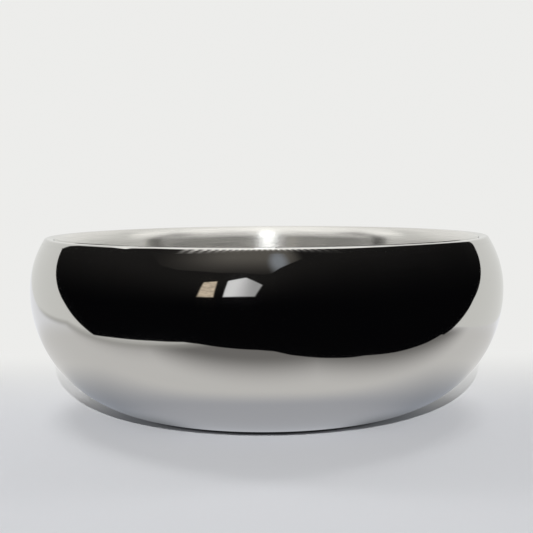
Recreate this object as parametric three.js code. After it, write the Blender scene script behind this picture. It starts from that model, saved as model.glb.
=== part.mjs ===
// Double-wall steel pet bowl: a polished belly shell and a satin inner bowl with a rounded lip, joined by
// a rim bead and closed below by a pressed base plate that carries a rubber ring.
// Millimetres, +Z up. The origin is the centre of the rubber ring's resting face.
import * as THREE from 'three';

// Overall form
const BELLY_RADIUS = 100; // widest radius of the outer shell
const RIM_HEIGHT = 75; // top of the rim bead above the floor
const RIM_INSET = 7.2; // centre line of the rim bead, in from the belly
const LOWER_RADIUS = 52; // arc of the shell from the belly down to the foot
const FOOT_LIFT = 1; // lowest level of that arc above the floor

// Sheet steel
const SHELL_SHEET = 0.8;
const LINER_SHEET = 0.8;
const PLATE_SHEET = 0.8;

// Rim
const BEAD_RADIUS = 1.2; // outside rounding of the rim
const BEAD_SKIRT = 0.8; // depth of the bead below the centre of its rounding
const LIP_RADIUS = 7; // inside rounding of the rim, from the inner wall up to the crest
const LIP_JOINT = THREE.MathUtils.degToRad(65); // slope of the lip where the bead takes over from the sheet

// Inner bowl
const INNER_FLOOR_HEIGHT = 12; // inside floor above the surface that the bowl stands on
const WALL_DRAFT = THREE.MathUtils.degToRad(10); // lean of the inner wall from upright
const CORNER_RADIUS = 28; // inside rounding between wall and floor

// Foot and base
const FOOT_RADIUS = 53.8; // opening in the foot, inside its turned-up flange
const FOOT_BEND = 1.2; // outside radius of the bend into the flange
const FLANGE_PROUD = 0.4; // flange top above the base plate
const BASE_WELD_LEG = 0.8; // fillet weld between flange and base plate
const PAD_LIFT = 1.6; // middle of the base plate above the floor
const STEP_SLOPE = THREE.MathUtils.degToRad(60); // pressed step round the middle of the base plate

// Rubber ring
const RING_WIDTH = 8;
const RING_HEIGHT = 3.2;
const RING_ROUND = 0.8; // rounding of the ring's lower edges

// Gap between pieces that seat on or in one another
const SEAT_GAP = 0.3;

// Fineness of the round surfaces
const SEGMENTS = 64; // sides around the bowl
const ARC_STEP = 5; // longest chord along an arc of a profile
const ARC_MIN_STEPS = 4;

const RIGHT_ANGLE = Math.PI / 2;

// Places that follow from the sizes above
const bellyHeight = FOOT_LIFT + LOWER_RADIUS;
const beadCentre = new THREE.Vector2(BELLY_RADIUS - RIM_INSET, RIM_HEIGHT - BEAD_RADIUS);
const beadBottom = beadCentre.y - BEAD_SKIRT;
const sheetEdge = beadBottom - SEAT_GAP; // top edge of the shell
const lipCentre = new THREE.Vector2(beadCentre.x, RIM_HEIGHT - LIP_RADIUS);

// Upper arc of the shell: upright at the belly and tangent to the rim bead
const rimRise = beadCentre.y - bellyHeight;
const rimDraw = BELLY_RADIUS - BEAD_RADIUS - beadCentre.x;
const upperRadius = (rimRise ** 2 + rimDraw ** 2) / (2 * rimDraw) + BEAD_RADIUS;
const upperCentre = new THREE.Vector2(BELLY_RADIUS - upperRadius, bellyHeight);
const beadTangent = Math.asin(rimRise / (upperRadius - BEAD_RADIUS));
const upperAngleAt = (height, radius) => Math.asin((height - bellyHeight) / radius);

// Lower arc of the shell, and the bend that turns its edge up into the foot flange
const lowerCentre = new THREE.Vector2(BELLY_RADIUS - LOWER_RADIUS, bellyHeight);
const bendOut = FOOT_RADIUS + FOOT_BEND - lowerCentre.x;
const bendDown = Math.sqrt((LOWER_RADIUS - FOOT_BEND) ** 2 - bendOut ** 2);
const bendCentre = new THREE.Vector2(lowerCentre.x + bendOut, lowerCentre.y - bendDown);
const footAngle = -Math.atan2(bendDown, bendOut);

// Levels and radii of the base, stacked up from the floor and in from the foot flange
const plateUnderside = RING_HEIGHT + SEAT_GAP;
const plateTop = plateUnderside + PLATE_SHEET;
const flangeTop = plateTop + FLANGE_PROUD;
const seatRadius = FOOT_RADIUS - SEAT_GAP; // outside of what fits into the foot
const ringInside = seatRadius - RING_WIDTH;

function point(radius, height) {
  return new THREE.Vector2(radius, height);
}

function onCircle(centre, radius, angle) {
  return point(centre.x + radius * Math.cos(angle), centre.y + radius * Math.sin(angle));
}

function arc(centre, radius, from, to) {
  const steps = Math.max(ARC_MIN_STEPS, Math.ceil((Math.abs(to - from) * radius) / ARC_STEP));
  return Array.from({ length: steps + 1 }, (_, step) =>
    onCircle(centre, radius, from + ((to - from) * step) / steps),
  );
}

// Radius of the inner wall at a height; offset 0 is its inside face, LINER_SHEET its outside face
function wallRadius(height, offset) {
  const drop = (height - lipCentre.y) * Math.sin(WALL_DRAFT);
  return lipCentre.x + (drop - LIP_RADIUS + offset) / Math.cos(WALL_DRAFT);
}

// Outlines run with the material on their left, so that the turned faces point outwards
function closed(outline) {
  return [...outline, outline[0].clone()];
}

function outerShellOutline() {
  const upperInside = upperRadius - SHELL_SHEET;
  return closed([
    point(FOOT_RADIUS, flangeTop),
    ...arc(bendCentre, FOOT_BEND, -2 * RIGHT_ANGLE, footAngle),
    ...arc(lowerCentre, LOWER_RADIUS, footAngle, 0).slice(1),
    ...arc(upperCentre, upperRadius, 0, upperAngleAt(sheetEdge, upperRadius)).slice(1),
    ...arc(upperCentre, upperInside, upperAngleAt(sheetEdge, upperInside), 0),
    ...arc(lowerCentre, LOWER_RADIUS - SHELL_SHEET, 0, footAngle).slice(1),
    ...arc(bendCentre, FOOT_BEND - SHELL_SHEET, footAngle, -2 * RIGHT_ANGLE).slice(1),
    point(FOOT_RADIUS + SHELL_SHEET, flangeTop),
  ]);
}

function innerBowlOutline() {
  const cornerHeight = INNER_FLOOR_HEIGHT + CORNER_RADIUS;
  const cornerReach = CORNER_RADIUS / Math.cos(WALL_DRAFT);
  const corner = point(wallRadius(cornerHeight, 0) - cornerReach, cornerHeight);
  const lipInside = LIP_RADIUS - LINER_SHEET;
  const lipFoot = 2 * RIGHT_ANGLE - WALL_DRAFT;
  const lipTip = 2 * RIGHT_ANGLE - LIP_JOINT + SEAT_GAP / lipInside;
  return [
    point(0, INNER_FLOOR_HEIGHT - LINER_SHEET),
    ...arc(corner, CORNER_RADIUS + LINER_SHEET, -RIGHT_ANGLE, -WALL_DRAFT),
    ...arc(lipCentre, lipInside, lipFoot, lipTip),
    ...arc(lipCentre, LIP_RADIUS, lipTip, lipFoot),
    ...arc(corner, CORNER_RADIUS, -WALL_DRAFT, -RIGHT_ANGLE),
    point(0, INNER_FLOOR_HEIGHT),
  ];
}

function rimBeadOutline() {
  const lipEnd = 2 * RIGHT_ANGLE - LIP_JOINT;
  const upperInside = upperRadius - SHELL_SHEET;
  return closed([
    onCircle(upperCentre, upperInside, upperAngleAt(beadBottom, upperInside)),
    ...arc(upperCentre, upperRadius, upperAngleAt(beadBottom, upperRadius), beadTangent),
    ...arc(beadCentre, BEAD_RADIUS, beadTangent, RIGHT_ANGLE).slice(1),
    ...arc(lipCentre, LIP_RADIUS, RIGHT_ANGLE, lipEnd).slice(1),
    onCircle(lipCentre, LIP_RADIUS - LINER_SHEET, lipEnd),
  ]);
}

function basePlateOutline() {
  const stepOutside = ringInside - SEAT_GAP;
  const stepInside = stepOutside - (plateUnderside - PAD_LIFT) / Math.tan(STEP_SLOPE);
  const sheetShift = PLATE_SHEET * Math.tan(STEP_SLOPE / 2);
  return [
    point(0, PAD_LIFT),
    point(stepInside, PAD_LIFT),
    point(stepOutside, plateUnderside),
    point(seatRadius, plateUnderside),
    point(seatRadius, plateTop),
    point(stepOutside - sheetShift, plateTop),
    point(stepInside - sheetShift, PAD_LIFT + PLATE_SHEET),
    point(0, PAD_LIFT + PLATE_SHEET),
  ];
}

function baseWeldOutline() {
  const top = plateUnderside - SEAT_GAP;
  const throat = point(seatRadius - BASE_WELD_LEG, top - BASE_WELD_LEG);
  return closed([point(seatRadius, top), ...arc(throat, BASE_WELD_LEG, RIGHT_ANGLE, 0)]);
}

function rubberRingOutline() {
  const weldRelief = BASE_WELD_LEG + SEAT_GAP * Math.SQRT2; // bevel that clears the base weld
  return closed([
    ...arc(point(ringInside + RING_ROUND, RING_ROUND), RING_ROUND, -2 * RIGHT_ANGLE, -RIGHT_ANGLE),
    ...arc(point(seatRadius - RING_ROUND, RING_ROUND), RING_ROUND, -RIGHT_ANGLE, 0),
    point(seatRadius, RING_HEIGHT - weldRelief),
    point(seatRadius - weldRelief, RING_HEIGHT),
    point(ringInside, RING_HEIGHT),
  ]);
}

function turned(name, outline, finish) {
  const geometry = new THREE.LatheGeometry(outline, SEGMENTS).rotateX(RIGHT_ANGLE);
  const mesh = new THREE.Mesh(geometry, new THREE.MeshStandardMaterial(finish));
  mesh.name = name;
  return mesh;
}

const mirrorSteel = { color: 0xc2c2c0, roughness: 0.05, metalness: 1 };
const satinSteel = { color: 0xb3b1aa, roughness: 0.35, metalness: 1 };
const millSteel = { color: 0xa5a5a3, roughness: 0.45, metalness: 1 };
const weldSteel = { color: 0x8f8c87, roughness: 0.5, metalness: 1 };
const blackRubber = { color: 0x1a1a1b, roughness: 0.85, metalness: 0 };

const bowl = new THREE.Group();
bowl.add(
  turned('outer_shell', outerShellOutline(), mirrorSteel),
  turned('inner_bowl', innerBowlOutline(), satinSteel),
  turned('rim_bead', rimBeadOutline(), mirrorSteel),
  turned('base_plate', basePlateOutline(), millSteel),
  turned('base_weld', baseWeldOutline(), weldSteel),
  turned('rubber_ring', rubberRingOutline(), blackRubber),
);

export default bowl;
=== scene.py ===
from math import asin, atan2, ceil, cos, pi, radians, sin, sqrt, tan

import bpy
from bpy.props import FloatProperty, FloatVectorProperty, IntProperty, PointerProperty
from mathutils import Matrix, Vector


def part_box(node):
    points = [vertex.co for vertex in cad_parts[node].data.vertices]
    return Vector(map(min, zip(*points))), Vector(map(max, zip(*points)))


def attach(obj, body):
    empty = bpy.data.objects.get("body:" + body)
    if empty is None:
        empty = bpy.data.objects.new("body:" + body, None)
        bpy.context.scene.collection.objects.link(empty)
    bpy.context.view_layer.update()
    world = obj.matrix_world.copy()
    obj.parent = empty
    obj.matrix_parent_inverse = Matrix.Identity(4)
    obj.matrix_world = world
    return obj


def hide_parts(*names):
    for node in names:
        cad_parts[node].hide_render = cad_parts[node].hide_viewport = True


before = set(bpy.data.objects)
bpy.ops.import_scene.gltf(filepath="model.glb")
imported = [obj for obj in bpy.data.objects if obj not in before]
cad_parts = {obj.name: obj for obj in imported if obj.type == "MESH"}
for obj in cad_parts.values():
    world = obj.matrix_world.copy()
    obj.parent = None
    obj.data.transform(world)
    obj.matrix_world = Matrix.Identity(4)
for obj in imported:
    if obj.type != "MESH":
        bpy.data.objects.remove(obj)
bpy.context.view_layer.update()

bl_info = {
    "name": "Double-wall steel bowl",
    "version": (1, 0, 0),
    "blender": (4, 5, 0),
    "location": "View3D > Sidebar > Bowl",
    "description": "Builds a double-wall steel pet bowl and a plain studio round it",
    "category": "Add Mesh",
}

MM = 0.001
SHEET = 0.8 * MM
SHELL_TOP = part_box("outer_shell")[1]
BEAD_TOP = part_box("rim_bead")[1]
LINER_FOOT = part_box("inner_bowl")[0]
PLATE_FOOT, PLATE_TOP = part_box("base_plate")
WELD_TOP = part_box("base_weld")[1]
RING_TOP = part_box("rubber_ring")[1]
WHOLE_TURN = 2 * pi
RIGHT_ANGLE = pi / 2
MERGE_DISTANCE = 1e-7
BODY = "root"


def length(name, description, default):
    return FloatProperty(name=name, description=description, default=default, min=0, precision=5,
                         unit="LENGTH")


def lean(name, description, degrees):
    return FloatProperty(name=name, description=description, default=radians(degrees), subtype="ANGLE")


def tint(name, description, default):
    return FloatVectorProperty(name=name, description=description, default=default, size=3, min=0, max=1,
                               subtype="COLOR")


def level(name, description, default):
    return FloatProperty(name=name, description=description, default=default, min=0)


def power(name, description, default):
    return FloatProperty(name=name, description=description, default=default, min=0, unit="POWER")


class BowlSizes(bpy.types.PropertyGroup):
    """Sizes of the bowl's pieces; what the solids fix is read from their boxes"""

    belly_radius: length("Belly radius", "Widest radius of the polished shell", SHELL_TOP.x)
    rim_height: length("Rim height", "Crest of the rim above the floor", BEAD_TOP.z)
    rim_inset: length("Rim inset", "Centre of the rim bead, in from the belly", 7.2 * MM)
    lower_radius: length("Lower arc", "Arc of the shell from the belly down to the foot", 52 * MM)
    foot_lift: length("Foot lift", "Lowest level of that arc above the floor", 1 * MM)
    sheet: length("Sheet", "Thickness of the steel sheet", SHEET)
    bead_radius: length("Bead radius", "Outside rounding of the rim", 1.2 * MM)
    bead_skirt: length("Bead skirt", "Depth of the bead below the centre of its rounding", 0.8 * MM)
    lip_radius: length("Lip radius", "Rounding inside the rim, from the satin wall up to the crest", 7 * MM)
    lip_joint: lean("Lip joint", "Slope of the lip at the seam between bead and satin bowl", 65)
    outer_seam: length("Outer seam", "Polished-over seam between bead and shell", 0.01 * MM)
    inner_seam: length("Inner seam", "Fine seam between bead and satin bowl", 0.12 * MM)
    floor_underside: length("Bowl underside", "Underside of the satin bowl's floor", LINER_FOOT.z)
    wall_lean: lean("Wall lean", "Lean of the satin wall from upright", 10)
    corner_radius: length("Corner radius", "Inside rounding between satin wall and floor", 28 * MM)
    foot_radius: length("Foot radius", "Opening in the foot, inside its flange", 53.8 * MM)
    foot_bend: length("Foot bend", "Outside radius of the bend into the foot flange", 1.2 * MM)
    flange_top: length("Flange top", "Upper edge of the foot flange", 4.7 * MM)
    seat_radius: length("Seat radius", "Outside radius of what fits into the foot", RING_TOP.x)
    plate_underside: length("Plate underside", "Underside of the base plate above the ring",
                            PLATE_TOP.z - SHEET)
    pad_lift: length("Pad lift", "Middle of the base plate above the floor", PLATE_FOOT.z)
    step_slope: lean("Step slope", "Slope of the pressed step in the base plate", 60)
    press_round: length("Press rounding", "Rounding of the pressed step's edges", 0.5 * MM)
    weld_top: length("Weld top", "Upper edge of the foot weld", WELD_TOP.z)
    weld_leg: length("Weld leg", "Leg of the foot weld", 0.8 * MM)
    ring_width: length("Ring width", "Width of the rubber ring", 8 * MM)
    ring_height: length("Ring height", "Height of the rubber ring", RING_TOP.z)
    ring_round: length("Ring rounding", "Rounding of the rubber ring's lower edges", 0.8 * MM)
    ring_relief: length("Ring relief", "Bevel of the rubber ring under the weld", 1.2243 * MM)
    sides: IntProperty(name="Sides", description="Steps round the bowl", default=256, min=32)
    arc_step: lean("Arc step", "Largest step along a rounding", 1.5)


class BowlFinishes(bpy.types.PropertyGroup):
    """Colours of the bowl's finishes"""

    polished: tint("Polished steel", "Mirror-polished shell and rim", (0.65, 0.64, 0.62))
    satin: tint("Satin steel", "Brushed inside of the bowl", (0.74, 0.725, 0.695))
    mill: tint("Mill steel", "Pressed base plate", (0.52, 0.52, 0.51))
    weld: tint("Weld metal", "Fillet under the foot", (0.4, 0.385, 0.36))
    heat: tint("Heat tint", "Straw colour beside the weld", (0.42, 0.31, 0.17))
    rubber: tint("Rubber", "Ring that the bowl stands on", (0.012, 0.012, 0.013))
    dust: tint("Dust", "Grey bloom on the rubber", (0.05, 0.05, 0.052))


class StudioSettings(bpy.types.PropertyGroup):
    """The floor, the light and the camera"""

    floor: tint("Floor", "Matt floor round the bowl", (0.74, 0.75, 0.78))
    # The floor as the steel mirrors it is painted light and shade: painted shade under the belly, beside
    # the foot, along the screen's foot and in a line along the sheet's left edge, and painted lit floor
    # round them
    floor_under: tint("Floor under the belly", "Shaded floor in front of the foot, as mirrored",
                      (0.475, 0.49, 0.53))
    floor_side: tint("Floor beside the foot", "Shaded floor at the sides, as mirrored", (0.3, 0.32, 0.36))
    # Painted shade: the darkest floor close beside the foot, as mirrored
    floor_foot_shade: tint("Floor by the foot", "Darkest floor beside the foot, as mirrored", (0.2, 0.21, 0.225))
    floor_lit: tint("Floor round the bowl", "Lit floor, as mirrored", (0.715, 0.71, 0.7))
    floor_far: tint("Floor farther off", "Lit floor away from the bowl, as mirrored", (0.86, 0.87, 0.9))
    floor_line: tint("Floor sheet's edge", "Shaded line along the left edge of the floor, as mirrored",
                     (0.42, 0.42, 0.4))
    # Painted shade: darker floor along the foot of the dark screen, as mirrored
    floor_screen_shade: tint("Floor by the screen", "Floor at the foot of the screen, as mirrored",
                     (0.205, 0.2, 0.195))
    backdrop: tint("Backdrop", "Pale surroundings", (0.845, 0.845, 0.83))
    surroundings: tint("Surroundings", "White surroundings, as the steel mirrors them", (0.775, 0.78, 0.76))
    ambient: level("Ambient", "Soft light from all sides", 0.29)
    key: power("Key", "Power of the low front lamp", 48.8)
    key_place: FloatVectorProperty(name="Key place", description="Place of the low front lamp",
                                   default=(0, -0.83, 0.3), size=3, subtype="XYZ", unit="LENGTH")
    key_radius: length("Key radius", "Size of the low front lamp", 55 * MM)
    screen: tint("Screen", "Dark screen in front, seen only in the steel", (0.002, 0.002, 0.0025))
    screen_top: tint("Upper screen", "Upper part of the screen, a little lighter", (0.014, 0.0135, 0.013))
    left_lamp: power("Left lamp", "Power of the lamp above the bowl on the left", 0.122)
    right_lamp: power("Right lamp", "Power of the lamp above the bowl on the right", 0.088)
    haze: tint("Haze", "Faint glow on the dark wall in front", (0.125, 0.117, 0.105))
    glint: tint("Glint", "Soft cool patch on the wall in front", (0.26, 0.28, 0.31))
    panel: tint("Wide panel", "Wide light panel on the screen", (0.89, 0.9, 0.92))
    warm_panel: tint("Slim panel", "Slim warm panel on the screen", (0.84, 0.71, 0.55))
    row: level("Row of lights", "Glow of the lights along the top of the wall in front", 4.0)
    row_pitch: length("Row pitch", "Distance between the lights of the row", 54 * MM)
    ceiling: level("Ceiling", "Glow of the pale ceiling, seen only in the steel", 1.4)
    lamp: level("Lamp", "Glow of the slim lamp over the bowl, seen only in the steel", 3.9)
    low_card: level("Low card", "Glow of the card over the bowl, seen only in the steel", 1.0)
    back_card: tint("Back card", "Middle of the pale card behind the bowl, seen only in the steel",
                    (0.98, 0.98, 0.96))
    eye: FloatVectorProperty(name="Eye", description="Place of the camera", default=(0, -0.4936, 0.0991),
                             size=3, subtype="XYZ", unit="LENGTH")
    dip: lean("Dip", "Downward tilt of the camera", 4.37)
    roll: lean("Roll", "Turn of the camera about its view", -0.37)
    lens: FloatProperty(name="Lens", description="Focal length in millimetres on a 36 mm frame",
                        default=77.67, min=1)


# Arithmetic on shader sockets

class Field:
    """An output socket of a shader node; arithmetic on numbers adds Math nodes"""

    def __init__(self, finish, socket):
        self.finish = finish
        self.socket = socket

    def output(self, name):
        return Field(self.finish, self.socket.node.outputs[name])

    def _math(self, operation, first, second):
        return self.finish.node("ShaderNodeMath", {"operation": operation}, {0: first, 1: second})

    def __add__(self, other):
        return self._math("ADD", self, other)

    def __radd__(self, other):
        return self._math("ADD", other, self)

    def __sub__(self, other):
        return self._math("SUBTRACT", self, other)

    def __rsub__(self, other):
        return self._math("SUBTRACT", other, self)

    def __mul__(self, other):
        return self._math("MULTIPLY", self, other)

    def __truediv__(self, other):
        return self._math("DIVIDE", self, other)

    def __pow__(self, other):
        return self._math("POWER", self, other)


class Finish:
    """The node tree of a material or of the surroundings"""

    def __init__(self, tree):
        self.tree = tree
        tree.nodes.clear()

    def node(self, kind, settings=None, inputs=None, output=0):
        """Adds a node, sets its settings, then its sockets, and gives one of its outputs, if any"""
        node = self.tree.nodes.new(kind)
        for name, value in (settings or {}).items():
            setattr(node, name, value)
        for name, value in (inputs or {}).items():
            if isinstance(value, Field):
                self.tree.links.new(value.socket, node.inputs[name])
            else:
                node.inputs[name].default_value = value
        return None if output is None else Field(self, node.outputs[output])

    def point(self):
        """Object coordinates as a vector"""
        return self.node("ShaderNodeTexCoord", output="Object")

    def place(self):
        """Object coordinates: x, y, z, distance from the axis, and the direction round it"""
        x = self.node("ShaderNodeSeparateXYZ", None, {0: self.point()})
        y, z = x.output("Y"), x.output("Z")
        reach = (x * x + y * y) ** 0.5
        return x, y, z, reach, x / reach, y / reach

    def vector(self, x, y, z):
        return self.node("ShaderNodeCombineXYZ", None, {0: x, 1: y, 2: z})

    def noise(self, vector, scale, detail=2.0, roughness=0.5):
        return self.node("ShaderNodeTexNoise", None,
                         {"Vector": vector, "Scale": scale, "Detail": detail, "Roughness": roughness})

    def turned_lines(self, fineness, sweep, detail=2.0):
        """Noise drawn out round the axis, as a turning brush leaves it"""
        _, _, z, reach, east, north = self.place()
        return self.node(
            "ShaderNodeTexNoise", {"noise_dimensions": "4D"},
            {"Vector": self.vector(reach * fineness, z * fineness, east * sweep), "W": north * sweep,
             "Scale": 1.0, "Detail": detail, "Roughness": 0.55})

    def ramp(self, value, low, high, out_low=0.0, out_high=1.0):
        """Smooth step from out_low, where the value is low, to out_high, where it is high"""
        return self.node("ShaderNodeMapRange", {"interpolation_type": "SMOOTHSTEP"},
                         {0: value, 1: low, 2: high, 3: out_low, 4: out_high})

    def lowest(self, first, *others):
        for other in others:
            first = self.node("ShaderNodeMath", {"operation": "MINIMUM"}, {0: first, 1: other})
        return first

    def edge(self, across, up, edges):
        """Lowest of the values a * across + b * up + c, above zero inside an outline"""
        return self.lowest(*[across * a + up * b + c for a, b, c in edges])

    def blend(self, factor, first, second):
        return self.node("ShaderNodeMix", {"data_type": "RGBA"}, {0: factor, 6: first, 7: second}, output=2)

    def bump(self, height, distance, strength=1.0):
        return self.node("ShaderNodeBump", None,
                         {"Height": height, "Distance": distance, "Strength": strength})

    def emission(self, colour, strength=1.0):
        return self.node("ShaderNodeEmission", None, {"Color": colour, "Strength": strength})

    def surface(self, shader, kind="ShaderNodeOutputMaterial"):
        self.node(kind, None, {"Surface": shader}, output=None)


def paint(name):
    material = bpy.data.materials.new(name)
    material.use_nodes = True
    return material, Finish(material.node_tree)


def solid(colour):
    return (*colour, 1.0)


# Finishes

WELD_RIPPLES = 210  # round the foot
TINT_FOOT = 2.8 * MM  # heights between which the weld takes on its heat tint
TINT_TOP = 3.4 * MM
TINT_UNEVEN = 0.6 * MM


def polished_steel(name, colour):
    """Mirror polish with the faint round-going haze of the last polishing wheel"""
    material, finish = paint(name)
    lines = finish.turned_lines(fineness=1400, sweep=3.0, detail=3.0)
    swell = finish.turned_lines(fineness=120, sweep=2.0)
    grain = finish.noise(finish.point(), scale=1300.0)
    relief = finish.bump(swell + grain * 0.2, distance=3e-7)
    mirror = finish.node("ShaderNodeBsdfPrincipled", None, {
        "Base Color": solid(colour), "Metallic": 1.0,
        "Roughness": finish.ramp(lines, 0.35, 0.7, 0.022, 0.04), "Normal": relief})
    haze = finish.node("ShaderNodeBsdfPrincipled", None, {
        "Base Color": solid(colour), "Metallic": 1.0, "Anisotropic": 1.0, "Anisotropic Rotation": 0.25,
        "Roughness": finish.ramp(lines, 0.3, 0.75, 0.12, 0.16), "Normal": relief})
    share = finish.ramp(grain, 0.3, 0.7, 0.012, 0.022)
    finish.surface(finish.node("ShaderNodeMixShader", None, {0: share, 1: mirror, 2: haze}))
    return material


def satin_steel(name, colour):
    """Satin steel brushed round the bowl"""
    material, finish = paint(name)
    fine = finish.turned_lines(fineness=2600, sweep=5.0, detail=3.0)
    broad = finish.turned_lines(fineness=520, sweep=2.5)
    cloud = finish.noise(finish.point(), scale=28.0)
    shade = finish.ramp(fine * 0.7 + broad * 0.3, 0.3, 0.7)
    darker = tuple(0.86 * c for c in colour)
    brushed = finish.node("ShaderNodeBsdfPrincipled", None, {
        "Base Color": finish.blend(shade, solid(darker), solid(colour)), "Metallic": 1.0,
        "Roughness": finish.ramp(fine * 0.5 + cloud * 0.5, 0.3, 0.7, 0.22, 0.26),
        "Anisotropic": 1.0, "Anisotropic Rotation": 0.25,
        "Normal": finish.bump(fine + broad, distance=4e-6)})
    finish.surface(brushed)
    return material


def mill_steel(name, colour):
    """Dull rolled sheet"""
    material, finish = paint(name)
    point = finish.point()
    drawn_out = finish.node("ShaderNodeMapping", None, {"Vector": point, "Scale": (40, 900, 40)})
    rolled = finish.noise(drawn_out, scale=1.0, detail=3.0)
    cloud = finish.noise(point, scale=60.0)
    shade = finish.ramp(rolled, 0.3, 0.7)
    darker = tuple(0.85 * c for c in colour)
    finish.surface(finish.node("ShaderNodeBsdfPrincipled", None, {
        "Base Color": finish.blend(shade, solid(darker), solid(colour)), "Metallic": 1.0,
        "Roughness": finish.ramp(cloud, 0.3, 0.7, 0.38, 0.52),
        "Normal": finish.bump(rolled, distance=4e-6)}))
    return material


def weld_steel(name, colour, heat):
    """Weld metal with ripples along the run and straw-coloured heat tint"""
    material, finish = paint(name)
    _, _, z, _, east, north = finish.place()
    angle = finish.node("ShaderNodeMath", {"operation": "ARCTAN2"}, {0: north, 1: east})
    ripple = finish.node("ShaderNodeMath", {"operation": "SINE"}, {0: angle * WELD_RIPPLES})
    cloud = finish.noise(finish.point(), scale=400.0, detail=3.0)
    tinted = finish.ramp(z + cloud * TINT_UNEVEN, TINT_FOOT, TINT_TOP)
    finish.surface(finish.node("ShaderNodeBsdfPrincipled", None, {
        "Base Color": finish.blend(tinted, solid(colour), solid(heat)), "Metallic": 1.0,
        "Roughness": finish.ramp(cloud, 0.3, 0.7, 0.4, 0.58),
        "Normal": finish.bump(ripple + cloud, distance=4e-5)}))
    return material


def black_rubber(name, colour, dust):
    """Matt moulded rubber with a fine grain and a little grey bloom"""
    material, finish = paint(name)
    point = finish.point()
    grain = finish.noise(point, scale=2600.0, detail=3.0)
    bloom = finish.noise(point, scale=90.0, detail=3.0)
    finish.surface(finish.node("ShaderNodeBsdfPrincipled", None, {
        "Base Color": finish.blend(finish.ramp(bloom, 0.45, 0.8, 0.0, 0.6), solid(colour), solid(dust)),
        "Roughness": finish.ramp(grain, 0.3, 0.7, 0.62, 0.85), "Specular IOR Level": 0.35,
        "Normal": finish.bump(grain, distance=3e-5)}))
    return material


# Outlines, drawn as (radius, height)

MIN_ARC_STEPS = 4
WALL_ROWS = 12
FLOOR_ROWS = 16
PAD_ROWS = 12


def arc(centre, radius, start, end, step):
    count = max(MIN_ARC_STEPS, ceil(abs(end - start) / step))
    angles = [start + (end - start) * i / count for i in range(count + 1)]
    return [centre + radius * Vector((cos(a), sin(a))) for a in angles]


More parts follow.
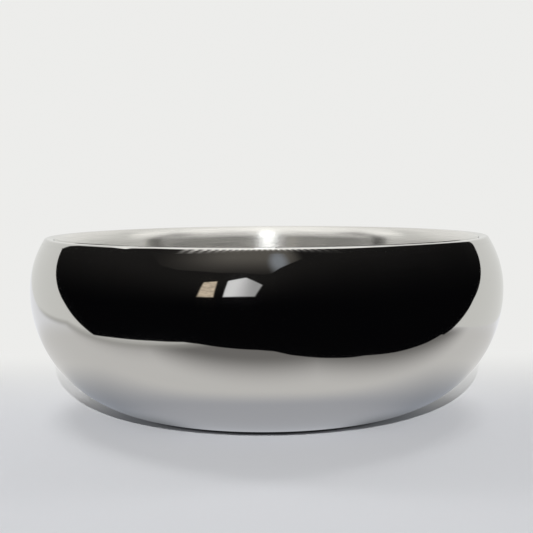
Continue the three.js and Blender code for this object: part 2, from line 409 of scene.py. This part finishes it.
class Outline:
    """Places on the bowl's section that follow from its sizes"""

    def __init__(self, sizes):
        self.sizes = sizes
        s = sizes
        self.corner_step = 1.5 * s.arc_step
        self.bead_step = 4 * s.arc_step
        self.small_step = 6 * s.arc_step
        self.belly_height = s.foot_lift + s.lower_radius
        self.bead_centre = Vector((s.belly_radius - s.rim_inset, s.rim_height - s.bead_radius))
        self.bead_bottom = self.bead_centre.y - s.bead_skirt
        self.lip_centre = Vector((self.bead_centre.x, s.rim_height - s.lip_radius))
        rise = self.bead_centre.y - self.belly_height
        draw = s.belly_radius - s.bead_radius - self.bead_centre.x
        self.upper_radius = (rise ** 2 + draw ** 2) / (2 * draw) + s.bead_radius
        self.upper_centre = Vector((s.belly_radius - self.upper_radius, self.belly_height))
        self.bead_tangent = asin(rise / (self.upper_radius - s.bead_radius))
        self.lower_centre = Vector((s.belly_radius - s.lower_radius, self.belly_height))
        out = s.foot_radius + s.foot_bend - self.lower_centre.x
        down = sqrt((s.lower_radius - s.foot_bend) ** 2 - out ** 2)
        self.bend_centre = Vector((self.lower_centre.x + out, self.lower_centre.y - down))
        self.foot_angle = -atan2(down, out)

    def upper_angle(self, height):
        return asin((height - self.belly_height) / self.upper_radius)

    def wall_radius(self, height):
        s = self.sizes
        drop = (height - self.lip_centre.y) * sin(s.wall_lean)
        return self.lip_centre.x + (drop - s.lip_radius) / cos(s.wall_lean)

    def shell(self):
        """Outside of the polished shell, from the foot flange up to the rim"""
        s = self.sizes
        top = self.upper_angle(self.bead_bottom - s.outer_seam)
        return [
            Vector((s.foot_radius, s.flange_top)),
            *arc(self.bend_centre, s.foot_bend, -pi, self.foot_angle, self.small_step),
            *arc(self.lower_centre, s.lower_radius, self.foot_angle, 0, s.arc_step)[1:],
            *arc(self.upper_centre, self.upper_radius, 0, top, s.arc_step)[1:],
        ]

    def liner(self):
        """Inside of the satin bowl, from the rim down to the middle of its floor"""
        s = self.sizes
        floor = s.floor_underside + s.sheet
        height = floor + s.corner_radius
        centre = Vector((self.wall_radius(height) - s.corner_radius / cos(s.wall_lean), height))
        tip = pi - s.lip_joint + s.inner_seam / s.lip_radius
        edge = self.lip_centre.y + s.lip_radius * sin(s.wall_lean)
        foot = height - s.corner_radius * sin(s.wall_lean)
        wall = [edge + (foot - edge) * i / WALL_ROWS for i in range(1, WALL_ROWS)]
        middle = [centre.x * (1 - i / FLOOR_ROWS) for i in range(1, FLOOR_ROWS + 1)]
        return [
            *arc(self.lip_centre, s.lip_radius, tip, pi - s.wall_lean, s.arc_step),
            *[Vector((self.wall_radius(h), h)) for h in wall],
            *arc(centre, s.corner_radius, -s.wall_lean, -RIGHT_ANGLE, self.corner_step),
            *[Vector((r, floor)) for r in middle],
        ]

    def bead(self):
        """The rim bead, outside upwards and over the crest"""
        s = self.sizes
        low = self.upper_angle(self.bead_bottom)
        tip = pi - s.lip_joint
        inside = arc(self.upper_centre, self.upper_radius - s.sheet, low, self.bead_tangent, s.arc_step)[0]
        return [
            *arc(self.upper_centre, self.upper_radius, low, self.bead_tangent, s.arc_step),
            *arc(self.bead_centre, s.bead_radius, self.bead_tangent, RIGHT_ANGLE, self.bead_step)[1:],
            *arc(self.lip_centre, s.lip_radius, RIGHT_ANGLE, tip, s.arc_step)[1:],
            self.lip_centre + (s.lip_radius - s.sheet) * Vector((cos(tip), sin(tip))),
            Vector((inside.x, self.bead_bottom)),
        ]

    def plate(self):
        """Underside of the base plate, from the middle out to its rim"""
        s = self.sizes
        step_out = s.seat_radius - s.ring_width - (s.foot_radius - s.seat_radius)
        step_in = step_out - (s.plate_underside - s.pad_lift) / tan(s.step_slope)
        pad = [step_in * i / PAD_ROWS for i in range(PAD_ROWS)]
        return [
            *[Vector((r, s.pad_lift)) for r in pad],
            Vector((step_in, s.pad_lift)),
            Vector((step_out, s.plate_underside)),
            Vector((s.seat_radius, s.plate_underside)),
        ]

    def weld(self):
        """The hollow fillet between foot flange and base plate"""
        s = self.sizes
        throat = Vector((s.seat_radius - s.weld_leg, s.weld_top - s.weld_leg))
        face = arc(throat, s.weld_leg, RIGHT_ANGLE, 0, self.small_step)
        return [Vector((s.seat_radius, s.weld_top)), *face]

    def ring(self):
        """The rubber ring, from its inside round the resting face"""
        s = self.sizes
        inside = s.seat_radius - s.ring_width
        inner = Vector((inside + s.ring_round, s.ring_round))
        outer = Vector((s.seat_radius - s.ring_round, s.ring_round))
        return [
            *arc(inner, s.ring_round, -pi, -RIGHT_ANGLE, self.small_step),
            *arc(outer, s.ring_round, -RIGHT_ANGLE, 0, self.small_step),
            Vector((s.seat_radius, s.ring_height - s.ring_relief)),
            Vector((s.seat_radius - s.ring_relief, s.ring_height)),
            Vector((inside, s.ring_height)),
        ]


# Modelling by operators

SMOOTH_ANGLE = radians(35)
BEVEL_ANGLE = radians(30)
BEVEL_STEPS = 3


def start_from_point(name, point):
    """A small plane drawn together into one vertex, from which an outline is extruded"""
    bpy.ops.object.select_all(action="DESELECT")
    bpy.ops.mesh.primitive_plane_add(size=1 * MM, location=point)
    piece = bpy.context.object
    piece.name = piece.data.name = name
    bpy.ops.object.transform_apply(location=True, rotation=True, scale=True)
    bpy.ops.object.mode_set(mode="EDIT")
    bpy.ops.mesh.select_all(action="SELECT")
    bpy.ops.mesh.merge(type="CENTER")
    return piece


def extrude_along(points):
    for here, there in zip(points, points[1:]):
        bpy.ops.mesh.extrude_vertices_move(TRANSFORM_OT_translate={"value": there - here})


def sheet_between(name, foot, top):
    """A sheet bridged between two rows of points"""
    upper = start_from_point(name, top[0])
    extrude_along(top)
    bpy.ops.object.mode_set(mode="OBJECT")
    sheet = start_from_point(name, foot[0])
    extrude_along(foot)
    bpy.ops.object.mode_set(mode="OBJECT")
    upper.select_set(True)
    bpy.ops.object.join()
    bpy.ops.object.mode_set(mode="EDIT")
    bpy.ops.mesh.select_all(action="SELECT")
    bpy.ops.mesh.bridge_edge_loops()
    bpy.ops.object.mode_set(mode="OBJECT")
    if len(sheet.data.polygons) != len(foot) - 1:
        raise RuntimeError(f"{name} is not closed between its rows")
    return sheet


def turn(name, outline, sides, closed=False):
    """Spins an outline about the bowl's axis"""
    points = [Vector((p.x, 0, p.y)) for p in outline]
    if closed:
        points.append(points[0])
    piece = start_from_point(name, points[0])
    extrude_along(points)
    bpy.ops.mesh.select_all(action="SELECT")
    bpy.ops.mesh.remove_doubles(threshold=MERGE_DISTANCE)
    bpy.ops.mesh.spin(steps=sides, angle=WHOLE_TURN, center=(0, 0, 0), axis=(0, 0, 1))
    bpy.ops.mesh.select_all(action="SELECT")
    bpy.ops.mesh.remove_doubles(threshold=MERGE_DISTANCE)
    bpy.ops.mesh.normals_make_consistent(inside=False)
    bpy.ops.object.mode_set(mode="OBJECT")
    if not piece.data.polygons:
        raise RuntimeError(f"{name} has no faces")
    return piece


def thicken(piece, sheet, side):
    """Gives a turned skin its sheet thickness; side -1 grows inwards, 1 outwards"""
    modifier = piece.modifiers.new("sheet", "SOLIDIFY")
    modifier.thickness = sheet
    modifier.offset = side
    modifier.use_even_offset = True
    bpy.ops.object.modifier_apply(modifier=modifier.name)


def round_edges(piece, width):
    modifier = piece.modifiers.new("rounding", "BEVEL")
    modifier.width = width
    modifier.segments = BEVEL_STEPS
    modifier.limit_method = "ANGLE"
    modifier.angle_limit = BEVEL_ANGLE
    bpy.ops.object.modifier_apply(modifier=modifier.name)


def deliver(piece, material, node):
    """Smooths a finished piece, paints it and sets it in the frame in place of its solid"""
    bpy.ops.object.shade_smooth_by_angle(angle=SMOOTH_ANGLE)
    piece.data.materials.clear()
    piece.data.materials.append(material)
    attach(piece, BODY)
    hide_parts(node)


# Pieces

class BowlOperator:
    """Shared settings of the operators below"""

    bl_options = {"REGISTER", "UNDO"}


class BOWL_OT_outer_shell(BowlOperator, bpy.types.Operator):
    """Build the mirror-polished outer shell"""

    bl_idname = "bowl.outer_shell"
    bl_label = "Polished Shell"

    def execute(self, context):
        sizes, finishes = context.scene.bowl_sizes, context.scene.bowl_finishes
        piece = turn("polished_shell", Outline(sizes).shell(), sizes.sides)
        thicken(piece, sizes.sheet, -1)
        deliver(piece, polished_steel("mirror polish", finishes.polished), "outer_shell")
        return {"FINISHED"}


class BOWL_OT_inner_bowl(BowlOperator, bpy.types.Operator):
    """Build the satin inner bowl"""

    bl_idname = "bowl.inner_bowl"
    bl_label = "Satin Bowl"

    def execute(self, context):
        sizes, finishes = context.scene.bowl_sizes, context.scene.bowl_finishes
        piece = turn("satin_bowl", Outline(sizes).liner(), sizes.sides)
        thicken(piece, sizes.sheet, 1)
        deliver(piece, satin_steel("satin brush", finishes.satin), "inner_bowl")
        return {"FINISHED"}


class BOWL_OT_rim_bead(BowlOperator, bpy.types.Operator):
    """Build the rounded rim that joins the two skins"""

    bl_idname = "bowl.rim_bead"
    bl_label = "Rim Bead"

    def execute(self, context):
        sizes, finishes = context.scene.bowl_sizes, context.scene.bowl_finishes
        piece = turn("polished_bead", Outline(sizes).bead(), sizes.sides, closed=True)
        deliver(piece, polished_steel("rim polish", finishes.polished), "rim_bead")
        return {"FINISHED"}


class BOWL_OT_base_plate(BowlOperator, bpy.types.Operator):
    """Build the pressed plate that closes the foot"""

    bl_idname = "bowl.base_plate"
    bl_label = "Base Plate"

    def execute(self, context):
        sizes, finishes = context.scene.bowl_sizes, context.scene.bowl_finishes
        piece = turn("pressed_base", Outline(sizes).plate(), sizes.sides)
        round_edges(piece, sizes.press_round)
        thicken(piece, sizes.sheet, -1)
        deliver(piece, mill_steel("mill sheet", finishes.mill), "base_plate")
        return {"FINISHED"}


class BOWL_OT_base_weld(BowlOperator, bpy.types.Operator):
    """Build the fillet weld under the foot"""

    bl_idname = "bowl.base_weld"
    bl_label = "Foot Weld"

    def execute(self, context):
        sizes, finishes = context.scene.bowl_sizes, context.scene.bowl_finishes
        piece = turn("foot_weld", Outline(sizes).weld(), sizes.sides, closed=True)
        deliver(piece, weld_steel("weld metal", finishes.weld, finishes.heat), "base_weld")
        return {"FINISHED"}


class BOWL_OT_rubber_ring(BowlOperator, bpy.types.Operator):
    """Build the rubber ring that the bowl stands on"""

    bl_idname = "bowl.rubber_ring"
    bl_label = "Rubber Ring"

    def execute(self, context):
        sizes, finishes = context.scene.bowl_sizes, context.scene.bowl_finishes
        piece = turn("rubber_foot", Outline(sizes).ring(), sizes.sides, closed=True)
        deliver(piece, black_rubber("moulded rubber", finishes.rubber, finishes.dust), "rubber_ring")
        return {"FINISHED"}


# Stage: the floor, the lamps, and what shows only in the steel

FLOOR_SIZE = 40
SENSOR_WIDTH = 36  # millimetres
CLIP_START = 10 * MM

# Dark screen in front: x and y of its foot and its height there, in millimetres
SCREEN = (
    (-166, -70, 112), (-149, -92, 140), (-134, -107.5, 150), (-125, -115.5, 160), (-115, -124, 135),
    (-106, -131.5, 136), (-78, -149, 170), (-61, -151.5, 178), (-6, -149.5, 152), (6, -146.5, 146),
    (17, -138.5, 147), (38, -127.5, 145), (58, -118.5, 128), (70, -114.5, 130), (93, -100.5, 140),
    (128, -82, 130), (160, -67, 108), (160.2, -66.7, 48), (160.5, -62.5, 8),
)
SCREEN_LINE = -117.8  # y from which the screen spreads as it rises, in millimetres
SCREEN_SPREAD = 0.0167  # share that it spreads with each millimetre
PANEL_FOOT = 73.5 * MM  # lower edge of the light panels on the screen
PANEL_SOFT = 3 * MM  # width over which their edges fade

# Dark wall farther off
WALL_REACH = 800 * MM
WALL_HEIGHT = 1550 * MM
WALL_TILT = 0.3  # slope of the wall's top, up to the right
WALL_HALF_TURN = radians(85)
WALL_STEPS = 34
GLINT_CENTRE = (90 * MM, 840 * MM)
GLINT_RADII = (100 * MM, 420 * MM)
ROW_FOOT = 1440 * MM
ROW_TOP = 1480 * MM
ROW_EDGE = 10 * MM
ROW_DIP = 0.9  # how fast the row sinks to both sides, in metres for a square metre
STREAK_FOOT = 1200 * MM  # faint streaks below and above the row
STREAK_TOP = 1520 * MM
HAZE_DIP = 0.3  # how fast the haze sinks to both sides

# Lamps and cards: place, width and height
SIDE_LAMP = (145 * MM, 3 * MM, 220 * MM)
SIDE_LAMP_SIZE = (50 * MM, 70 * MM)
SLIM_LAMP = (-0.8 * MM, -20 * MM, 185 * MM)
SLIM_LAMP_SIZE = (10 * MM, 170 * MM)
LOW_CARD = (0, -30 * MM, 200 * MM)
LOW_CARD_SIZE = (500 * MM, 110 * MM)
CEILING = (0, 50 * MM, 1250 * MM)
CEILING_SIZE = (3000 * MM, 1000 * MM)
BACK_CARD = (0, 1500 * MM, 1500 * MM)
BACK_CARD_SIZE = (3800 * MM, 2700 * MM)
BACKWARDS = Vector((0, 1, 0))
FORWARDS = Vector((0, -1, 0))
DOWNWARDS = Vector((0, 0, -1))
COOL_WHITE = (0.95, 0.98, 1.0)
WARM_WHITE = (1.0, 1.0, 0.98)
ROW_WHITE = (1.0, 0.98, 0.95)

# Outlines by their straight edges (a, b, c): inside, a * across + b * up + c is above zero for each
WIDE_PANEL = ((0, 1, 0), (1, 0.115, 0.05), (-1, 0.24, -0.0114), (-1.356, -1, 0.027), (0.46, -1, 0.081))
SLIM_PANEL = ((0, 1, 0), (1, 0.123, 0.0812), (-1, -0.176, -0.0601), (0.553, -1, 0.0933))
SHEET_LEFT = ((1, 0.338, 0.234), (1, 1.137, 0.238))
SHEET_RIGHT = ((-1, 0, 0.197),)
SCREEN_FOOT = ((0, 1, 0.131), (-0.497, 0.868, 0.131), (0.308, 0.457, 0.098))


def only_in_reflections(thing):
    thing.visible_camera = False
    thing.visible_diffuse = False
    thing.visible_shadow = False
    thing.visible_transmission = False
    thing.visible_volume_scatter = False


def mirrored_floor(finish, studio):
    """Painted light and shade of the floor as the steel mirrors it, from the foot out to the edges of the
    pale sheet: painted shade under the belly, beside the foot, along the screen's foot and in a line along
    the sheet's left edge, and painted lighter floor farther off
    """
    x, y, _, reach, _, north = finish.place()
    # Painted shade under the belly, darker beside the foot than in front, and painted lit floor round it
    side = finish.ramp(north, -1.0, -0.45)
    under = finish.blend(side, solid(studio.floor_under), solid(studio.floor_side))
    lit = finish.ramp(reach, 0.084 - side * 0.012, 0.097 + side * 0.023)
    shade = finish.blend(lit, under, solid(studio.floor_lit))
    # Painted shade: the darkest floor close beside the foot, away from the front
    foot_shade_mask = finish.ramp(reach, 0.074, 0.058)
    off_front = finish.ramp(north, -0.95, -0.7)
    shade = finish.blend(foot_shade_mask * off_front, shade, solid(studio.floor_foot_shade))
    # Painted light: the floor is lighter farther from the bowl
    far = finish.ramp(reach, 0.16, 0.27)
    shade = finish.blend(far, shade, solid(studio.floor_far))
    # Painted shade along the foot of the dark screen
    screen_shade_mask = finish.ramp(finish.edge(x, y, SCREEN_FOOT), 0.034, -0.006)
    near_screen = finish.ramp(reach, 0.215, 0.17)
    shade = finish.blend(screen_shade_mask * near_screen, shade, solid(studio.floor_screen_shade))
    left = finish.edge(x, y, SHEET_LEFT)
    on_sheet = finish.ramp(finish.lowest(left, finish.edge(x, y, SHEET_RIGHT)), -0.005, 0.005)
    sheet_reach = finish.ramp(reach, 1.6, 0.6)
    shade = finish.blend(1 - on_sheet * sheet_reach, shade, solid(studio.surroundings))
    # Painted shade: a soft dark line along the left edge of the pale sheet
    line = finish.ramp(left, 0.025, 0.0) * finish.ramp(left, -0.03, 0.0)
    line_reach = finish.ramp(reach, 0.45, 0.2)
    return finish.blend(line * line_reach * 0.7, shade, solid(studio.floor_line))


def add_floor(studio):
    """A matt floor that keeps the bowl's shadow and turns into the backdrop farther off; in the steel it
    shows painted light and shade instead
    """
    bpy.ops.object.select_all(action="DESELECT")
    bpy.ops.mesh.primitive_plane_add(size=FLOOR_SIZE)
    floor = bpy.context.object
    floor.name = "floor"
    material, finish = paint("pale floor")
    _, y, _, reach, _, _ = finish.place()
    path = finish.node("ShaderNodeLightPath", output="Is Camera Ray")
    mirrored = path.output("Is Glossy Ray")
    seen = path + mirrored + path.output("Is Transmission Ray")
    behind = finish.ramp(y, -0.03, 0.16)
    away = finish.ramp(reach, 0.3, 0.7)
    distant = behind + (1 - behind) * away
    # In the steel the floor is an emission with the painted light and shade of mirrored_floor
    colour = finish.blend(mirrored, solid(studio.backdrop), mirrored_floor(finish, studio))
    matt = finish.node("ShaderNodeBsdfDiffuse", None, {"Color": solid(studio.floor)})
    light = finish.emission(colour)
    veil = distant * seen + (1 - distant) * mirrored
    finish.surface(finish.node("ShaderNodeMixShader", None, {0: veil, 1: matt, 2: light}))
    floor.data.materials.append(material)


def screen_point(x, y, rise):
    """A point of the screen above a place on its foot"""
    return Vector((x, SCREEN_LINE + (y - SCREEN_LINE) * (1 + SCREEN_SPREAD * rise), rise)) * MM


def add_screen(studio):
    """A dark screen in front, with two light panels"""
    foot = [screen_point(x, y, 0) for x, y, _ in SCREEN]
    top = [screen_point(x, y, rise) for x, y, rise in SCREEN]
    screen = sheet_between("front_screen", foot, top)
    material, finish = paint("dark screen")
    x, _, z, _, _, _ = finish.place()
    up = z - PANEL_FOOT
    wide = finish.ramp(finish.edge(x, up, WIDE_PANEL), 0.0, PANEL_SOFT)
    slim = finish.ramp(finish.edge(x, up, SLIM_PANEL), 0.0, PANEL_SOFT)
    mottle = finish.noise(finish.point(), scale=160.0, detail=3.0)
    uneven = finish.ramp(mottle, 0.3, 0.7, 0.65, 1.0)
    dimmer_right = finish.ramp(x, -0.012, -0.042, 0.48, 1.0)
    upper = finish.ramp(z, 0.05, 0.13)
    colour = finish.blend(upper, solid(studio.screen), solid(studio.screen_top))
    colour = finish.blend(slim * uneven, colour, solid(studio.warm_panel))
    colour = finish.blend(wide * dimmer_right, colour, solid(studio.panel))
    finish.surface(finish.emission(colour))
    screen.data.materials.append(material)
    only_in_reflections(screen)


def add_wall(studio):
    """A dark curved wall farther off, with a faint glow and a row of small lights along its top"""
    angles = [WALL_HALF_TURN * (2 * i / WALL_STEPS - 1) for i in range(WALL_STEPS + 1)]
    foot = [Vector((WALL_REACH * sin(a), -WALL_REACH * cos(a), 0)) for a in angles]
    top = [p + Vector((0, 0, WALL_HEIGHT + WALL_TILT * p.x)) for p in foot]
    wall = sheet_between("front_wall", foot, top)
    material, finish = paint("dark wall")
    x, _, z, _, _, _ = finish.place()
    haze_width = finish.ramp(x, -0.76, -0.25) * finish.ramp(x, 0.3, 0.15)
    haze = finish.ramp(z + x * x * HAZE_DIP, 0.42, 1.0) * haze_width
    colour = finish.blend(haze, solid(studio.screen_top), solid(studio.haze))
    east = (x - GLINT_CENTRE[0]) / GLINT_RADII[0]
    up = (z - GLINT_CENTRE[1]) / GLINT_RADII[1]
    glint = finish.ramp((east * east + up * up) ** 0.5, 1.0, 0.2)
    colour = finish.blend(glint, colour, solid(studio.glint))
    beat = finish.node("ShaderNodeMath", {"operation": "SINE"}, {0: x * (WHOLE_TURN / studio.row_pitch)})
    rise = z + x * x * ROW_DIP
    row_width = finish.ramp(x, -0.66, -0.6) * finish.ramp(x, 0.65, 0.05)
    streaks = finish.ramp(rise, STREAK_FOOT, ROW_FOOT) * finish.ramp(rise, STREAK_TOP, ROW_TOP) * row_width
    streaks = streaks * finish.ramp(beat, -0.8, 0.8, 0.15, 1.0)
    colour = finish.blend(streaks * 0.6, colour, solid(ROW_WHITE))
    row = finish.ramp(rise, ROW_FOOT, ROW_FOOT + ROW_EDGE) * finish.ramp(rise, ROW_TOP, ROW_TOP - ROW_EDGE)
    row = row * finish.ramp(beat, 0.1, 0.4) * row_width
    faint = finish.emission(colour)
    lights = finish.emission(solid(ROW_WHITE), studio.row)
    finish.surface(finish.node("ShaderNodeMixShader", None, {0: row, 1: faint, 2: lights}))
    wall.data.materials.append(material)
    only_in_reflections(wall)


def glow(name, colour, strength):
    material, finish = paint(name)
    finish.surface(finish.emission(solid(colour), strength))
    return material


def soft_glow(name, middle, edge, size):
    """A glow that fades from its middle to the colour of its edge"""
    material, finish = paint(name)
    x, y, _, _, _, _ = finish.place()
    east, north = x / (size[0] / 2), y / (size[1] / 2)
    fade = finish.ramp((east * east + north * north) ** 0.5, 0.6, 1.0)
    colour = finish.blend(fade, solid(middle), solid(edge))
    finish.surface(finish.emission(colour))
    return material


def add_card(name, place, facing, size, material):
    """A flat card that only shows in the steel"""
    bpy.ops.object.select_all(action="DESELECT")
    bpy.ops.mesh.primitive_plane_add(size=1)
    card = bpy.context.object
    card.name = name
    bpy.ops.transform.resize(value=(*size, 1))
    bpy.ops.object.transform_apply(location=False, rotation=False, scale=True)
    card.location = place
    card.rotation_euler = facing.to_track_quat("Z", "Y").to_euler()
    card.data.materials.append(material)
    only_in_reflections(card)


def hide_lamp(lamp):
    lamp.visible_camera = False
    lamp.visible_glossy = False


def add_key(studio):
    """A lamp in front whose light doesn't fade with distance"""
    bpy.ops.object.light_add(type="POINT", radius=studio.key_radius, location=studio.key_place)
    key = bpy.context.object
    key.name = "front_key"
    key.data.energy = studio.key
    key.data.use_nodes = True
    finish = Finish(key.data.node_tree)
    steady = finish.node("ShaderNodeLightFalloff", None, {"Strength": 1.0}, output="Constant")
    finish.surface(finish.node("ShaderNodeEmission", None, {"Strength": steady}), "ShaderNodeOutputLight")
    hide_lamp(key)


def add_side_lamp(name, side, watts):
    """A lamp above the bowl, on the left (side -1) or on the right (side 1), turned to the foot"""
    place = Vector((side * SIDE_LAMP[0], *SIDE_LAMP[1:]))
    bpy.ops.object.light_add(type="AREA", location=place)
    lamp = bpy.context.object
    lamp.name = name
    lamp.data.shape = "RECTANGLE"
    lamp.data.size, lamp.data.size_y = SIDE_LAMP_SIZE
    lamp.data.energy = watts
    lamp.rotation_euler = (-place).to_track_quat("-Z", "Y").to_euler()
    hide_lamp(lamp)


def add_surroundings(studio):
    """Pale surroundings: full for the camera and in the steel, dimmer as light"""
    world = bpy.data.worlds.new("studio")
    world.use_nodes = True
    bpy.context.scene.world = world
    finish = Finish(world.node_tree)
    path = finish.node("ShaderNodeLightPath", output="Is Camera Ray")
    mirrored = path.output("Is Glossy Ray") + path.output("Is Transmission Ray")
    colour = finish.blend(mirrored, solid(studio.backdrop), solid(studio.surroundings))
    strength = studio.ambient + (path + mirrored) * (1 - studio.ambient)
    light = finish.node("ShaderNodeBackground", None, {"Color": colour, "Strength": strength})
    finish.surface(light, "ShaderNodeOutputWorld")


def add_camera(studio):
    bpy.ops.object.camera_add()
    camera = bpy.context.object
    camera.name = "camera"
    tilt = Matrix.Rotation(RIGHT_ANGLE - studio.dip, 4, "X")
    camera.matrix_world = Matrix.Translation(studio.eye) @ tilt @ Matrix.Rotation(studio.roll, 4, "Z")
    camera.data.sensor_width = SENSOR_WIDTH
    camera.data.lens = studio.lens
    camera.data.clip_start = CLIP_START
    bpy.context.scene.camera = camera


class BOWL_OT_stage(BowlOperator, bpy.types.Operator):
    """Set up the floor, the light and the camera"""

    bl_idname = "bowl.stage"
    bl_label = "Stage"

    def execute(self, context):
        studio = context.scene.bowl_studio
        add_floor(studio)
        add_screen(studio)
        add_side_lamp("left_lamp", -1, studio.left_lamp)
        add_side_lamp("right_lamp", 1, studio.right_lamp)
        add_wall(studio)
        slim_lamp = glow("slim lamp", COOL_WHITE, studio.lamp)
        add_card("slim_lamp", SLIM_LAMP, BACKWARDS, SLIM_LAMP_SIZE, slim_lamp)
        low_card = glow("low card", WARM_WHITE, studio.low_card)
        add_card("low_card", LOW_CARD, BACKWARDS, LOW_CARD_SIZE, low_card)
        ceiling = glow("ceiling", WARM_WHITE, studio.ceiling)
        add_card("ceiling", CEILING, DOWNWARDS, CEILING_SIZE, ceiling)
        back_card = soft_glow("back card", studio.back_card, studio.surroundings, BACK_CARD_SIZE)
        add_card("back_card", BACK_CARD, FORWARDS, BACK_CARD_SIZE, back_card)
        add_key(studio)
        add_surroundings(studio)
        add_camera(studio)
        context.scene.view_settings.view_transform = "Standard"
        return {"FINISHED"}


class VIEW3D_PT_bowl(bpy.types.Panel):
    """Sizes, finishes and pieces of the bowl"""

    bl_label = "Double-wall Bowl"
    bl_space_type = "VIEW_3D"
    bl_region_type = "UI"
    bl_category = "Bowl"

    def draw(self, context):
        for operator in OPERATORS:
            self.layout.operator(operator.bl_idname)
        for group in (context.scene.bowl_sizes, context.scene.bowl_finishes, context.scene.bowl_studio):
            box = self.layout.box()
            for name in group.__annotations__:
                box.prop(group, name)


GROUPS = {"bowl_sizes": BowlSizes, "bowl_finishes": BowlFinishes, "bowl_studio": StudioSettings}
OPERATORS = (BOWL_OT_outer_shell, BOWL_OT_inner_bowl, BOWL_OT_rim_bead, BOWL_OT_base_plate,
             BOWL_OT_base_weld, BOWL_OT_rubber_ring, BOWL_OT_stage)
CLASSES = (*GROUPS.values(), *OPERATORS, VIEW3D_PT_bowl)


def register():
    for cls in CLASSES:
        bpy.utils.register_class(cls)
    for name, group in GROUPS.items():
        setattr(bpy.types.Scene, name, PointerProperty(type=group))


def unregister():
    for name in GROUPS:
        delattr(bpy.types.Scene, name)
    for cls in reversed(CLASSES):
        bpy.utils.unregister_class(cls)


def main():
    register()
    bpy.ops.bowl.outer_shell()
    bpy.ops.bowl.inner_bowl()
    bpy.ops.bowl.rim_bead()
    bpy.ops.bowl.base_plate()
    bpy.ops.bowl.base_weld()
    bpy.ops.bowl.rubber_ring()
    bpy.ops.bowl.stage()


if __name__ == "__main__":
    main()
